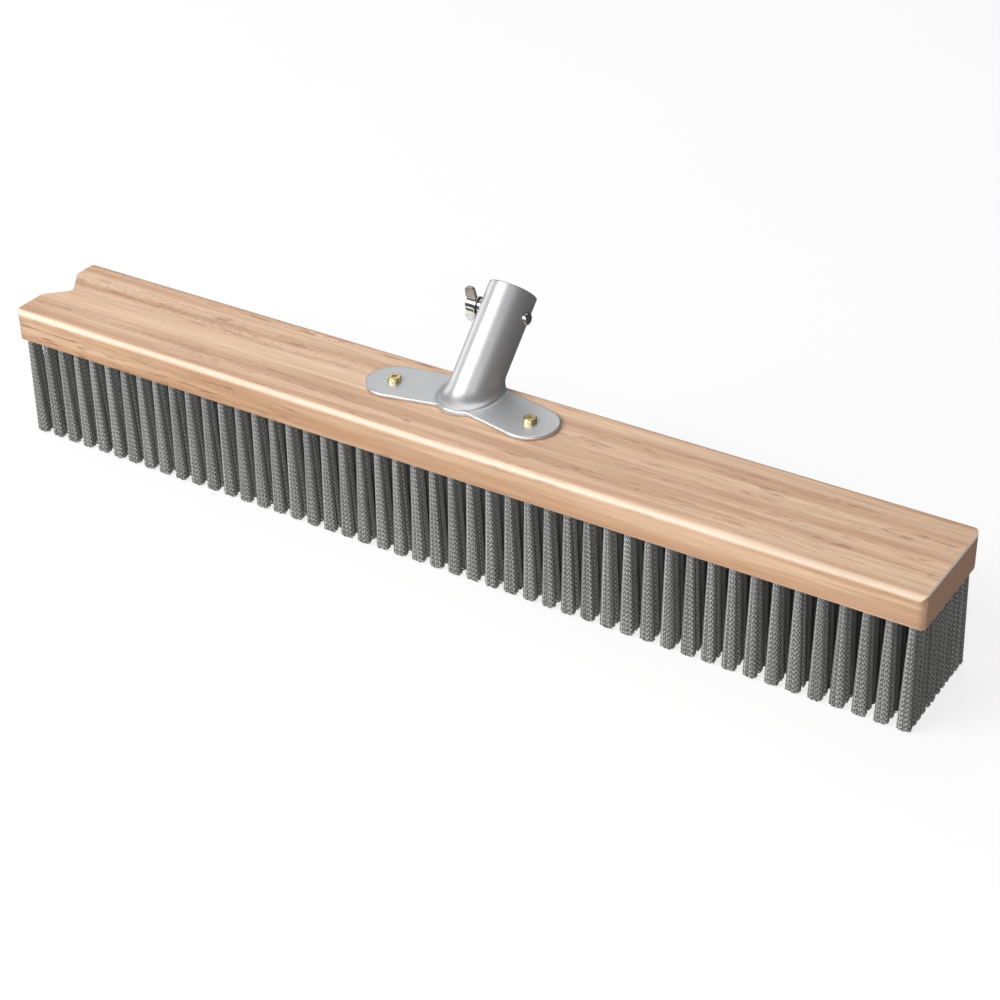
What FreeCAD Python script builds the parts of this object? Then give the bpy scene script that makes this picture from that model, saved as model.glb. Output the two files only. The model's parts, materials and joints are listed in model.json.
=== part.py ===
"""Push broom head: a wooden block with six rows of tufts and a tilted metal handle socket.

Millimetres. +X runs along the block, +Y is the side that the socket leans to, +Z is up.
The origin is on the floor, at the middle of the box that holds the whole head.
"""
import FreeCAD, Part
import math
import os
import Sketcher

os.makedirs("parts", exist_ok=True)
Vector = FreeCAD.Vector
doc = FreeCAD.newDocument("push_broom_head")

# ---------------------------------------------------------------- driving dimensions
DIMENSIONS = {
    # wooden block
    "block_length": 610.0,
    "block_width": 76.2,
    "block_thickness": 20.6,
    "block_corner_radius": 4.5,
    "block_top_round": 4.5,
    "block_bottom_round": 2.0,
    "block_back_round": 6.0,
    "block_end_bevel": 0.7,
    # hanging notch in the left end
    "notch_depth": 13.8,
    "notch_front_y": -13.0,
    "notch_deepest_y": 0.8,
    "notch_back_y": 20.0,
    # tufts
    "bristle_length": 67.0,
    "tuft_pitch": 12.7,
    "tuft_columns": 48.0,
    "tuft_rows": 6.0,
    "tuft_root_diameter": 7.0,
    "tuft_tip_diameter": 9.4,
    "tuft_hole_diameter": 7.1,
    "tuft_hole_depth": 11.0,
    "tuft_root_length": 10.6,
    "tuft_trim_step": 0.3,
    # flat wire anchors that hold the folded tufts
    "anchor_width": 6.6,
    "anchor_height": 2.2,
    "anchor_thickness": 0.5,
    "anchor_slot_height": 2.6,
    "anchor_slot_width": 0.7,
    # socket bracket
    "ear_thickness": 2.3,
    "ear_radius": 17.5,
    "ear_screw_x": 46.5,
    "ear_screw_y": 6.0,
    "ear_sweep_angle": 12.0,
    "tube_outer_diameter": 29.6,
    "tube_bore_diameter": 26.0,
    "tube_relief_diameter": 26.8,
    "tube_tilt": 45.0,
    "tube_length": 67.5,
    "tube_foot_y": 15.8,
    "handle_depth": 54.5,
    "foot_margin": 2.3,
    "foot_back_y": 33.2,
    "foot_back_height": 3.5,
    # wood screws through the ears
    "screw_head_diameter": 8.4,
    "screw_head_height": 2.9,
    "screw_head_round": 1.3,
    "screw_shank_diameter": 4.9,
    "screw_pilot_diameter": 5.0,
    "screw_pilot_spare": 0.1,
    "screw_length": 11.0,
    "screw_point": 3.0,
    "screw_turn": 20.0,
    "ear_hole_diameter": 5.5,
    "recess_span": 4.2,
    "recess_width": 1.2,
    "recess_depth": 1.8,
    # clamp: wing screw, washer, threaded insert and the rivet opposite
    "clamp_below_rim": 14.4,
    "thread_diameter": 6.0,
    "insert_bore_diameter": 6.1,
    "insert_shank_diameter": 8.0,
    "insert_hole_diameter": 8.1,
    "insert_boss_diameter": 10.0,
    "insert_boss_face_x": -16.0,
    "insert_boss_root_x": -8.0,
    "insert_inner_x": -13.2,
    "washer_face_x": -17.3,
    "washer_thickness": 1.0,
    "washer_outer_diameter": 10.8,
    "washer_bore_diameter": 6.5,
    "stud_tip_x": -13.2,
    "stud_tip_bevel": 0.8,
    "stud_end_x": -23.3,
    "wing_gap": 0.2,
    "wing_hub_diameter": 9.0,
    "wing_hub_end_x": -24.4,
    "wing_span": 21.6,
    "wing_thickness": 2.2,
    "wing_tip_x": -26.8,
    "wing_root_height": 4.0,
    "wing_root_setback": 0.8,
    "wing_shoulder_drop": 0.8,
    "wing_tip_height": 6.0,
    "wing_tip_round": 2.5,
    "rivet_head_diameter": 7.8,
    "rivet_head_height": 2.6,
    "rivet_head_round": 2.1,
    "rivet_saddle_depth": 1.5,
    "rivet_shank_diameter": 5.0,
    "rivet_hole_diameter": 5.1,
    "rivet_inner_x": 13.2,
}

sheet = doc.addObject("Spreadsheet::Sheet", "Sheet")
for row, (alias, number) in enumerate(DIMENSIONS.items(), start=1):
    sheet.set("A%d" % row, alias)
    sheet.set("B%d" % row, str(number))
    sheet.setAlias("B%d" % row, alias)
doc.recompute()


def dim(alias):
    """The number in one cell of the sheet."""
    return float(sheet.get(alias))


def size(alias, factor=1.0):
    """A length for a sketch or a feature: its number, and the expression that binds it."""
    return dim(alias) * factor, "Sheet.%s * %s" % (alias, factor)


def total(*lengths):
    """The sum of several lengths from size()."""
    return sum(number for number, _ in lengths), " + ".join(text for _, text in lengths)


ZERO = (0.0, "0")

# ---------------------------------------------------------------- places in the part's frame
block_underside = dim("bristle_length")
block_top = block_underside + dim("block_thickness")
tilt = math.radians(dim("tube_tilt"))
tube_axis = Vector(0, math.sin(tilt), math.cos(tilt))
rim_back_y = dim("tube_foot_y") + dim("tube_length") * math.sin(tilt) + dim(
    "tube_outer_diameter"
) / 2 * math.cos(tilt)
# the origin is midway between the block's front face and the back of the tube's rim
block_y = (dim("block_width") / 2 - rim_back_y) / 2
tube_foot = Vector(0, block_y + dim("tube_foot_y"), block_top)
clamp_centre = tube_foot + tube_axis * (dim("tube_length") - dim("clamp_below_rim"))
tube_rotation = FreeCAD.Rotation(Vector(1, 0, 0), -dim("tube_tilt"))
ALONG_X = FreeCAD.Rotation(Vector(0, 1, 0), 90)
UPWARDS = Vector(0, 0, 1)
NO_TURN = FreeCAD.Rotation()

# ---------------------------------------------------------------- allowances for making, not sizes
TINY = 0.01
PARALLEL = 0.99
BORE_OVERRUN = 1.0
TUBE_OVERRUN = 30.0
CUTTER_SPAN = 200.0
CUTTER_DEPTH = 60.0


# ---------------------------------------------------------------- helpers
def bind(feature, **properties):
    """Binds properties of a feature to lengths from size()."""
    for name, (_, expression) in properties.items():
        feature.setExpression(name, expression)
    return feature


def new_body(label):
    body = doc.addObject("PartDesign::Body", label)
    body.Label = label
    return body


def origin_feature(body, role):
    """One of the body's own origin planes or axes, by its role."""
    for feature in body.Origin.OriginFeatures:
        if feature.Role == role:
            return feature
    raise ValueError("no origin feature " + role)


def new_sketch(body, name, plane):
    sketch = body.newObject("Sketcher::SketchObject", name)
    sketch.AttachmentSupport = [(origin_feature(body, plane), "")]
    sketch.MapMode = "FlatFace"
    return sketch


def hold_point(sketch, curve, end, place):
    """Fixes one end of a curve at a place, with both distances bound to the sheet."""
    for kind, (number, expression) in zip(("DistanceX", "DistanceY"), place):
        if expression == "0":
            axis = -2 if kind == "DistanceX" else -1
            sketch.addConstraint(Sketcher.Constraint("PointOnObject", curve, end, axis))
            continue
        index = sketch.addConstraint(Sketcher.Constraint(kind, -1, 1, curve, end, number))
        sketch.setExpression("Constraints[%d]" % index, expression)


def draw_polygon(sketch, corners):
    """A closed outline of straight edges. Each corner is a pair of lengths from size()."""
    first = sketch.GeometryCount
    count = len(corners)
    for index, corner in enumerate(corners):
        following = corners[(index + 1) % count]
        start = Vector(corner[0][0], corner[1][0], 0)
        end = Vector(following[0][0], following[1][0], 0)
        sketch.addGeometry(Part.LineSegment(start, end), False)
    for index in range(count):
        following = first + (index + 1) % count
        sketch.addConstraint(Sketcher.Constraint("Coincident", first + index, 2, following, 1))
    for index, corner in enumerate(corners):
        hold_point(sketch, first + index, 1, corner)


def draw_rectangle(sketch, low_x, low_y, high_x, high_y):
    draw_polygon(sketch, [(low_x, low_y), (high_x, low_y), (high_x, high_y), (low_x, high_y)])


def revolve(body, name, corners):
    """Turns a half outline, drawn in the XZ plane, about the body's Z axis."""
    sketch = new_sketch(body, name + "_outline", "XZ_Plane")
    draw_polygon(sketch, corners)
    turned = body.newObject("PartDesign::Revolution", name)
    turned.Profile = sketch
    turned.ReferenceAxis = (sketch, ["V_Axis"])
    turned.Angle = 360.0
    doc.recompute()
    return turned


def edges_where(feature, test):
    """Names of the edges whose middle point passes the test."""
    names = []
    for index, edge in enumerate(feature.Shape.Edges, start=1):
        low, high = edge.ParameterRange
        if test(edge, edge.valueAt((low + high) / 2)):
            names.append("Edge%d" % index)
    if not names:
        raise ValueError("no edge of %s passes the test" % feature.Label)
    return names


def round_edges(body, base, name, radius, test):
    fillet = body.newObject("PartDesign::Fillet", name)
    fillet.Base = (base, edges_where(base, test))
    fillet.Radius = radius[0]
    bind(fillet, Radius=radius)
    doc.recompute()
    return fillet


def must_shrink(before, after):
    """A pocket that points away from the solid cuts nothing and raises nothing."""
    if after.Shape.Volume >= before.Shape.Volume - TINY:
        raise ValueError(after.Label + " removed nothing")


def cylinder(label, diameter, height, placement):
    solid = doc.addObject("Part::Cylinder", label)
    bind(solid, Radius=size(diameter, 0.5), Height=height)
    solid.Placement = placement
    return solid


def rim_test(height, diameter):
    """A test for the circular edge of one diameter at one height."""

    def test(edge, middle):
        radius = getattr(edge.Curve, "Radius", 0.0)
        return abs(middle.z - height) < TINY and abs(radius - diameter / 2) < TINY

    return test


def join(label, *shapes):
    fused = doc.addObject("Part::MultiFuse", label)
    fused.Shapes = list(shapes)
    doc.recompute()
    return fused


def cut(label, base, *tools):
    tool = tools[0] if len(tools) == 1 else join(label + "_tools", *tools)
    result = doc.addObject("Part::Cut", label)
    result.Base = base
    result.Tool = tool
    doc.recompute()
    must_shrink(base, result)
    return result


def copies(label, prototype, places):
    """One node of separate copies of a prototype's solid."""
    node = doc.addObject("Part::Feature", label)
    solids = []
    for place in places:
        solid = prototype.Shape.copy()
        solid.translate(place)
        solids.append(solid)
    node.Shape = Part.makeCompound(solids)
    return node


# ---------------------------------------------------------------- tuft places
def column_x(column):
    return (column - (dim("tuft_columns") - 1) / 2) * dim("tuft_pitch")


def row_y(row):
    return block_y + (row - (dim("tuft_rows") - 1) / 2) * dim("tuft_pitch")


def notch_depth_at(offset):
    """How far the notch reaches into the left end, at a distance from the block's middle."""
    deepest = dim("notch_deepest_y")
    lip = dim("notch_back_y") if offset > deepest else dim("notch_front_y")
    return max(0.0, dim("notch_depth") * (offset - lip) / (deepest - lip))


def beside_notch(column, row):
    """Holes that would break into the notch aren't drilled."""
    hole_edge = column_x(column) - dim("tuft_hole_diameter") / 2
    notch_edge = notch_depth_at(row_y(row) - block_y) - dim("block_length") / 2
    return hole_edge < notch_edge


def row_columns(row):
    return [c for c in range(int(dim("tuft_columns"))) if not beside_notch(c, row)]


def reaches_floor(column, row):
    """A few tufts of the outer rows are the longest, so the head stands on them."""
    outer_row = row in (0, int(dim("tuft_rows")) - 1)
    last = int(dim("tuft_columns")) - 1
    return outer_row and column in (0, last // 3, last - last // 3, last)


# ---------------------------------------------------------------- wooden block
def make_plank():
    """The block's long section with its rounded edges, left square at both ends."""
    body = new_body("block_plank")
    section = new_sketch(body, "section", "YZ_Plane")
    half_width = size("block_width", 0.5)
    draw_rectangle(section, size("block_width", -0.5), ZERO, half_width, size("block_thickness"))
    plank = body.newObject("PartDesign::Pad", "plank")
    plank.Profile = section
    bind(plank, Length=size("block_length"))
    plank.Midplane = True
    doc.recompute()

    def long_edge(height, *distances):
        def test(edge, middle):
            along = edge.Length > dim("block_width") and abs(middle.z - height) < TINY
            return along and min(abs(middle.y - y) for y in distances) < TINY

        return test

    back_y = dim("block_width") / 2
    rounds = [
        ("top_round", "block_top_round", long_edge(dim("block_thickness"), -back_y, back_y)),
        ("front_bottom_round", "block_bottom_round", long_edge(0, -back_y)),
        ("back_bottom_round", "block_back_round", long_edge(0, back_y)),
    ]
    latest = plank
    for name, alias, test in rounds:
        latest = round_edges(body, latest, name, size(alias), test)
    return body


def make_plan():
    """The block's outline from above, with round corners and the notch in the left end."""
    body = new_body("block_plan")
    outline = new_sketch(body, "plan", "XY_Plane")
    right, left = size("block_length", 0.5), size("block_length", -0.5)
    front, back = size("block_width", -0.5), size("block_width", 0.5)
    draw_polygon(
        outline,
        [
            (left, front),
            (right, front),
            (right, back),
            (left, back),
            (left, size("notch_back_y")),
            (total(left, size("notch_depth")), size("notch_deepest_y")),
            (left, size("notch_front_y")),
        ],
    )
    slab = body.newObject("PartDesign::Pad", "slab")
    slab.Profile = outline
    bind(slab, Length=size("block_thickness"))
    doc.recompute()

    def upright_at(x, *distances):
        def test(edge, middle):
            upright = abs(edge.tangentAt(edge.FirstParameter).z) > PARALLEL
            there = abs(middle.x - x) < TINY and min(abs(middle.y - y) for y in distances) < TINY
            return upright and there

        return test

    half_length, half_width = dim("block_length") / 2, dim("block_width") / 2
    corner, left_x = size("block_corner_radius"), -half_length
    deepest_x = dim("notch_depth") - half_length
    rounds = [
        ("front_right_corner", 1.0, upright_at(half_length, -half_width)),
        ("back_right_corner", 2.4, upright_at(half_length, half_width)),
        ("left_corners", 1.0, upright_at(left_x, -half_width, half_width)),
        ("notch_bottom", 0.9, upright_at(deepest_x, dim("notch_deepest_y"))),
        ("notch_front_lip", 1.0, upright_at(left_x, dim("notch_front_y"))),
        ("notch_back_lip", 2.0, upright_at(left_x, dim("notch_back_y"))),
    ]
    latest = slab
    for name, share, test in rounds:
        radius = (corner[0] * share, "Sheet.block_corner_radius * %s" % share)
        latest = round_edges(body, latest, name, radius, test)
    return body


def make_block():
    shapes = [make_plank(), make_plan()]
    blank = doc.addObject("Part::MultiCommon", "block_blank")
    blank.Shapes = shapes
    doc.recompute()
    # a box turned 45 degrees planes a narrow bevel along the right end's top edge
    bevel = dim("block_end_bevel")
    plane_side = 4 * bevel
    planer = doc.addObject("Part::Box", "bevel_planer")
    planer.Length = plane_side
    planer.Width = dim("block_width") + 2 * plane_side
    planer.Height = plane_side
    middle = Vector(dim("block_length") / 2 - bevel / 2, 0, dim("block_thickness") - bevel / 2)
    slope = Vector(-1, 0, 1).normalize()
    corner = middle - slope * (plane_side / 2) - Vector(0, planer.Width.Value / 2, 0)
    planer.Placement = FreeCAD.Placement(corner, FreeCAD.Rotation(Vector(0, 1, 0), -45))
    doc.recompute()
    bevelled = cut("block_bevelled", blank, planer)
    bevelled.Placement = FreeCAD.Placement(Vector(0, block_y, block_underside), NO_TURN)

    drill = cylinder(
        "tuft_drill", "tuft_hole_diameter", size("tuft_hole_depth"), FreeCAD.Placement()
    )
    doc.recompute()
    tuft_places = [
        Vector(column_x(column), row_y(row), block_underside)
        for row in range(int(dim("tuft_rows")))
        for column in row_columns(row)
    ]
    tuft_holes = copies("tuft_holes", drill, tuft_places)
    pilot = cylinder(
        "pilot_drill", "screw_pilot_diameter", size("screw_length"), FreeCAD.Placement()
    )
    doc.recompute()
    pilot_bottom = block_top + dim("ear_thickness") - dim("screw_length") - dim("screw_pilot_spare")
    screw_y = block_y + dim("ear_screw_y")
    pilot_places = [Vector(side * dim("ear_screw_x"), screw_y, pilot_bottom) for side in (-1, 1)]
    pilot_holes = copies("pilot_holes", pilot, pilot_places)
    drilled = cut("block_drilled", bevelled, tuft_holes)
    block = cut("block", drilled, pilot_holes)
    return block


# ---------------------------------------------------------------- tufts and their anchors
def make_tuft():
    """One tuft, its root at the top: a bundle that spreads from its hole to its tip."""
    body = new_body("tuft")
    root, tip = size("tuft_root_diameter", 0.5), size("tuft_tip_diameter", 0.5)
    underside = size("bristle_length")
    inner_end = total(underside, size("tuft_root_length"))
    bundle = revolve(
        body,
        "bundle",
        [(ZERO, ZERO), (tip, ZERO), (root, underside), (root, inner_end), (ZERO, inner_end)],
    )
    fold = new_sketch(body, "fold_outline", "YZ_Plane")
    draw_rectangle(
        fold,
        size("anchor_slot_width", -0.5),
        total(inner_end, size("anchor_slot_height", -1.0)),
        size("anchor_slot_width", 0.5),
        total(inner_end, size("anchor_slot_height", 0.5)),
    )
    slot = body.newObject("PartDesign::Pocket", "fold")
    slot.Profile = fold
    slot.Type = "ThroughAll"
    slot.Midplane = True
    doc.recompute()
    must_shrink(bundle, slot)
    return body


def make_anchor():
    """One flat wire anchor, centred on its tuft and driven in across the fold."""
    anchor = doc.addObject("Part::Box", "anchor")
    bind(
        anchor,
        Length=size("anchor_width"),
        Width=size("anchor_thickness"),
        Height=size("anchor_height"),
    )
    gap_above = (dim("anchor_slot_height") - dim("anchor_height")) / 2
    anchor_z = block_underside + dim("tuft_root_length") - gap_above - dim("anchor_height")
    corner = Vector(-dim("anchor_width") / 2, -dim("anchor_thickness") / 2, anchor_z)
    anchor.Placement = FreeCAD.Placement(corner, NO_TURN)
    doc.recompute()
    return anchor


def make_tuft_rows():
    tuft = make_tuft()
    anchor = make_anchor()
    trim = Vector(0, 0, dim("tuft_trim_step"))
    rows = []
    for row in range(int(dim("tuft_rows"))):
        tuft_places = []
        anchor_places = []
        for column in row_columns(row):
            place = Vector(column_x(column), row_y(row), 0)
            if not reaches_floor(column, row):
                place = place + trim
            tuft_places.append(place)
            anchor_places.append(place)
        rows.append(copies("bristle_row_%d" % (row + 1), tuft, tuft_places))
        rows.append(copies("tuft_anchors_row_%d" % (row + 1), anchor, anchor_places))
    return rows


# ---------------------------------------------------------------- socket bracket
def make_ears():
    """Two swept ears with round ends, mirrored about the middle of the bracket."""
    body = new_body("bracket_ears")
    sketch = new_sketch(body, "ear_outline", "XY_Plane")
    sweep = math.radians(dim("ear_sweep_angle"))
    radius = dim("ear_radius")
    centre = Vector(dim("ear_screw_x"), dim("ear_screw_y"), 0)
    front_angle, back_angle = -math.pi / 2 - sweep, math.pi / 2 - sweep
    front_end = centre + Vector(math.cos(front_angle), math.sin(front_angle), 0) * radius
    back_end = centre + Vector(math.cos(back_angle), math.sin(back_angle), 0) * radius
    front_middle = Vector(0, front_end.y + front_end.x * math.tan(sweep), 0)
    back_middle = Vector(0, back_end.y + back_end.x * math.tan(sweep), 0)
    circle = Part.Circle(centre, UPWARDS, radius)
    sketch.addGeometry(Part.ArcOfCircle(circle, front_angle, back_angle), False)
    sketch.addGeometry(Part.LineSegment(back_end, back_middle), False)
    sketch.addGeometry(Part.LineSegment(back_middle, front_middle), False)
    sketch.addGeometry(Part.LineSegment(front_middle, front_end), False)
    for first, second in ((0, 1), (3, 0)):
        sketch.addConstraint(Sketcher.Constraint("Tangent", first, 2, second, 1))
    for first, second in ((1, 2), (2, 3)):
        sketch.addConstraint(Sketcher.Constraint("Coincident", first, 2, second, 1))
    sketch.addConstraint(Sketcher.Constraint("PointOnObject", 2, 1, -2))
    sketch.addConstraint(Sketcher.Constraint("PointOnObject", 2, 2, -2))
    sketch.addConstraint(Sketcher.Constraint("Parallel", 1, 3))
    index = sketch.addConstraint(Sketcher.Constraint("Radius", 0, radius))
    sketch.setExpression("Constraints[%d]" % index, "Sheet.ear_radius")
    hold_point(sketch, 0, 3, (size("ear_screw_x"), size("ear_screw_y")))
    pad = body.newObject("PartDesign::Pad", "ear")
    pad.Profile = sketch
    bind(pad, Length=size("ear_thickness"))
    doc.recompute()
    mirror = body.newObject("PartDesign::Mirrored", "ears")
    mirror.Originals = [pad]
    mirror.MirrorPlane = (origin_feature(body, "YZ_Plane"), [""])
    body.Tip = mirror
    doc.recompute()
    body.Placement = FreeCAD.Placement(Vector(0, block_y, block_top), NO_TURN)
    return body


def make_foot():
    """An oval pad under the tube, wider than the tube by an even margin."""
    oval = doc.addObject("Part::Ellipse", "foot_oval")
    tube_radius = dim("tube_outer_diameter") / 2
    oval.MajorRadius = tube_radius / math.cos(tilt) + dim("foot_margin")
    oval.MinorRadius = tube_radius + dim("foot_margin")
    oval.Placement = FreeCAD.Placement(tube_foot, FreeCAD.Rotation(UPWARDS, 90))
    foot = doc.addObject("Part::Extrusion", "foot")
    foot.Base = oval
    foot.DirMode = "Custom"
    foot.Dir = UPWARDS
    foot.Solid = True
    bind(foot, LengthFwd=size("ear_thickness"))
    doc.recompute()
    return foot


def along_tube(label, diameter, start, end):
    """A cylinder on the tube's axis, between two distances from the tube's foot."""
    length = end - start
    place = FreeCAD.Placement(tube_foot + tube_axis * start, tube_rotation)
    return cylinder(label, diameter, (length, str(length)), place)


def box(label, length, width, height, corner):
    solid = doc.addObject("Part::Box", label)
    bind(solid, Length=length, Width=width, Height=height)
    solid.Placement = FreeCAD.Placement(corner, NO_TURN)
    return solid


def make_bracket():
    rim = dim("tube_length")
    handle_stop = rim - dim("handle_depth")
    tube = along_tube("tube_outside", "tube_outer_diameter", -TUBE_OVERRUN, rim)
    solid = join("bracket_solid", make_ears(), make_foot(), tube)
    span, depth = (CUTTER_SPAN, str(CUTTER_SPAN)), (CUTTER_DEPTH, str(CUTTER_DEPTH))
    below_corner = Vector(-CUTTER_SPAN / 2, tube_foot.y - CUTTER_SPAN / 2, block_top - CUTTER_DEPTH)
    below = box("below_block_top", span, span, depth, below_corner)
    behind_corner = Vector(-CUTTER_SPAN / 2, block_y + dim("foot_back_y"), block_top)
    behind = box("behind_block_top", span, depth, size("foot_back_height"), behind_corner)
    seated = cut("bracket_seated", solid, below, behind)

    # the handle fits the bore down to its stop, and a wider relief runs on to the block
    bore = along_tube("tube_bore", "tube_bore_diameter", handle_stop, rim + BORE_OVERRUN)
    relief = along_tube("tube_relief", "tube_relief_diameter", -TUBE_OVERRUN, handle_stop)
    reach = dim("tube_outer_diameter")
    insert_hole = clamp_cylinder("insert_hole", "insert_hole_diameter", -reach, 0.0)
    rivet_hole = clamp_cylinder("rivet_hole", "rivet_hole_diameter", 0.0, reach)
    ear_holes = []
    for side, sign in (("left", -1), ("right", 1)):
        screw_y = block_y + dim("ear_screw_y")
        start = Vector(sign * dim("ear_screw_x"), screw_y, block_top - dim("ear_thickness"))
        place = FreeCAD.Placement(start, NO_TURN)
        through = size("ear_thickness", 3.0)
        ear_holes.append(cylinder("ear_hole_" + side, "ear_hole_diameter", through, place))
    doc.recompute()
    bored = cut("bracket_bored", seated, bore, relief)
    return cut("socket_bracket", bored, insert_hole, rivet_hole, *ear_holes)


def clamp_cylinder(label, diameter, start_x, end_x):
    """A cylinder on the clamp's axis between two distances from the tube's middle."""
    length = end_x - start_x
    place = FreeCAD.Placement(clamp_centre + Vector(start_x, 0, 0), ALONG_X)
    return cylinder(label, diameter, (length, str(length)), place)


# ---------------------------------------------------------------- fasteners
def make_ear_screw(side, sign):
    """A pan head wood screw with a cross recess, its head resting on the ear."""
    body = new_body("bracket_screw_" + side)
    head, shank = size("screw_head_diameter", 0.5), size("screw_shank_diameter", 0.5)
    height = size("screw_head_height")
    tip = size("screw_length", -1.0)
    shoulder = total(tip, size("screw_point"))
    blank = revolve(
        body,
        "blank",
        [
            (ZERO, tip),
            (shank, shoulder),
            (shank, ZERO),
            (head, ZERO),
            (head, height),
            (ZERO, height),
        ],
    )
    head_rim = rim_test(dim("screw_head_height"), dim("screw_head_diameter"))
    pan = round_edges(body, blank, "pan", size("screw_head_round"), head_rim)
    cross = new_sketch(body, "cross", "XY_Plane")
    cross.AttachmentOffset = FreeCAD.Placement(Vector(0, 0, dim("screw_head_height")), NO_TURN)
    near, far = size("recess_width", 0.5), size("recess_span", 0.5)
    back_near, back_far = size("recess_width", -0.5), size("recess_span", -0.5)
    draw_polygon(
        cross,
        [
            (near, near),
            (far, near),
            (far, back_near),
            (near, back_near),
            (near, back_far),
            (back_near, back_far),
            (back_near, back_near),
            (back_far, back_near),
            (back_far, near),
            (back_near, near),
            (back_near, far),
            (near, far),
        ],
    )
    recess = body.newObject("PartDesign::Pocket", "recess")
    recess.Profile = cross
    bind(recess, Length=size("recess_depth"))
    doc.recompute()
    must_shrink(pan, recess)
    seat = Vector(
        sign * dim("ear_screw_x"), block_y + dim("ear_screw_y"), block_top + dim("ear_thickness")
    )
    body.Placement = FreeCAD.Placement(seat, FreeCAD.Rotation(UPWARDS, dim("screw_turn") * sign))
    return body


def tube_hull(label):
    """The tube's outside as a solid, to shape whatever is seated on it."""
    clamp = dim("tube_length") - dim("clamp_below_rim")
    reach = dim("clamp_below_rim")
    return along_tube(label, "tube_outer_diameter", clamp - reach, clamp + reach)


def make_insert():
    face_x, inner_x = dim("insert_boss_face_x"), dim("insert_inner_x")
    root_x = dim("insert_boss_root_x")
    boss = clamp_cylinder("insert_boss_blank", "insert_boss_diameter", face_x, root_x)
    doc.recompute()
    saddle = cut("insert_boss", boss, tube_hull("insert_saddle"))
    shank = clamp_cylinder("insert_shank", "insert_shank_diameter", face_x, inner_x)
    solid = join("insert_solid", saddle, shank)
    outer_end, inner_end = face_x - BORE_OVERRUN, inner_x + BORE_OVERRUN
    thread = clamp_cylinder("insert_thread", "insert_bore_diameter", outer_end, inner_end)
    doc.recompute()
    return cut("threaded_insert", solid, thread)


def make_rivet():
    body = new_body("rivet_blank")
    head, shank = size("rivet_head_diameter", 0.5), size("rivet_shank_diameter", 0.5)
    seat = size("tube_outer_diameter", 0.5)
    crown = total(seat, size("rivet_head_height"))
    under = total(seat, size("rivet_saddle_depth", -1.0))
    blank = revolve(
        body,
        "rivet_solid",
        [
            (ZERO, size("rivet_inner_x")),
            (shank, size("rivet_inner_x")),
            (shank, under),
            (head, under),
            (head, crown),
            (ZERO, crown),
        ],
    )
    crown_z = dim("tube_outer_diameter") / 2 + dim("rivet_head_height")
    crown_rim = rim_test(crown_z, dim("rivet_head_diameter"))
    round_edges(body, blank, "dome", size("rivet_head_round"), crown_rim)
    body.Placement = FreeCAD.Placement(clamp_centre, ALONG_X)
    doc.recompute()
    hull = cut("rivet_saddle_ring", tube_hull("rivet_saddle"), rivet_core())
    return cut("socket_rivet", body, hull)


def rivet_core():
    """The space of the rivet's shank, which the saddle cut leaves alone."""
    core = clamp_cylinder("rivet_core", "rivet_shank_diameter", 0.0, dim("tube_outer_diameter"))
    doc.recompute()
    return core


def make_washer():
    end_x = dim("washer_face_x")
    start_x = end_x - dim("washer_thickness")
    disc = clamp_cylinder("washer_disc", "washer_outer_diameter", start_x, end_x)
    outer_end, inner_end = start_x - BORE_OVERRUN, end_x + BORE_OVERRUN
    hole = clamp_cylinder("washer_hole", "washer_bore_diameter", outer_end, inner_end)
    doc.recompute()
    return cut("screw_washer", disc, hole)


def make_stud():
    """The wing screw's threaded shank, from its tip at the bore to inside the wing's hub."""
    body = new_body("wing_screw_stud")
    radius = size("thread_diameter", 0.5)
    tip = total(radius, size("stud_tip_bevel", -1.0))
    tip_x, end_x = size("stud_tip_x"), size("stud_end_x")
    bevelled = total(tip_x, size("stud_tip_bevel", -1.0))
    revolve(
        body,
        "shank",
        [(ZERO, end_x), (radius, end_x), (radius, bevelled), (tip, tip_x), (ZERO, tip_x)],
    )
    body.Placement = FreeCAD.Placement(clamp_centre, ALONG_X)
    return body


def make_wing():
    """A cast hub with two flared wings, drawn with the screw's axis as the body's Z axis."""
    body = new_body("wing_handle")
    hub_face = total(size("washer_face_x"), size("washer_thickness", -1.0), size("wing_gap", -1.0))
    hub_end = size("wing_hub_end_x")
    hub, bore = size("wing_hub_diameter", 0.5), size("thread_diameter", 0.5)
    pocket_end = size("stud_end_x")
    casting = revolve(
        body,
        "hub",
        [
            (ZERO, hub_end),
            (hub, hub_end),
            (hub, hub_face),
            (bore, hub_face),
            (bore, pocket_end),
            (ZERO, pocket_end),
        ],
    )
    wing_outline = new_sketch(body, "wing_outline", "XZ_Plane")
    root_near = total(hub_face, size("wing_root_setback", -1.0))
    root_far = hub_end
    tip_far = size("wing_tip_x")
    tip_near = total(tip_far, size("wing_tip_height"))
    inside = total(bore, size("wing_gap"))
    span = size("wing_span", 0.5)
    draw_polygon(
        wing_outline,
        [
            (inside, root_near),
            (total(inside, size("wing_root_height", 0.5)), root_near),
            (span, tip_near),
            (span, tip_far),
            (total(hub, size("wing_gap")), total(tip_far, size("wing_shoulder_drop"))),
            (inside, root_far),
        ],
    )
    wing = body.newObject("PartDesign::Pad", "wing")
    wing.Profile = wing_outline
    bind(wing, Length=size("wing_thickness"))
    wing.Midplane = True
    doc.recompute()
    half_span = dim("wing_span") / 2

    def wing_corner(edge, middle):
        across = abs(edge.tangentAt(edge.FirstParameter).y) > PARALLEL
        return across and abs(middle.x - half_span) < TINY

    tips = round_edges(body, wing, "wing_tips", size("wing_tip_round"), wing_corner)
    pair = body.newObject("PartDesign::Mirrored", "wings")
    pair.Originals = [wing, tips]
    pair.MirrorPlane = (origin_feature(body, "YZ_Plane"), [""])
    body.Tip = pair
    doc.recompute()
    body.Placement = FreeCAD.Placement(clamp_centre, ALONG_X)
    return body


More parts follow.
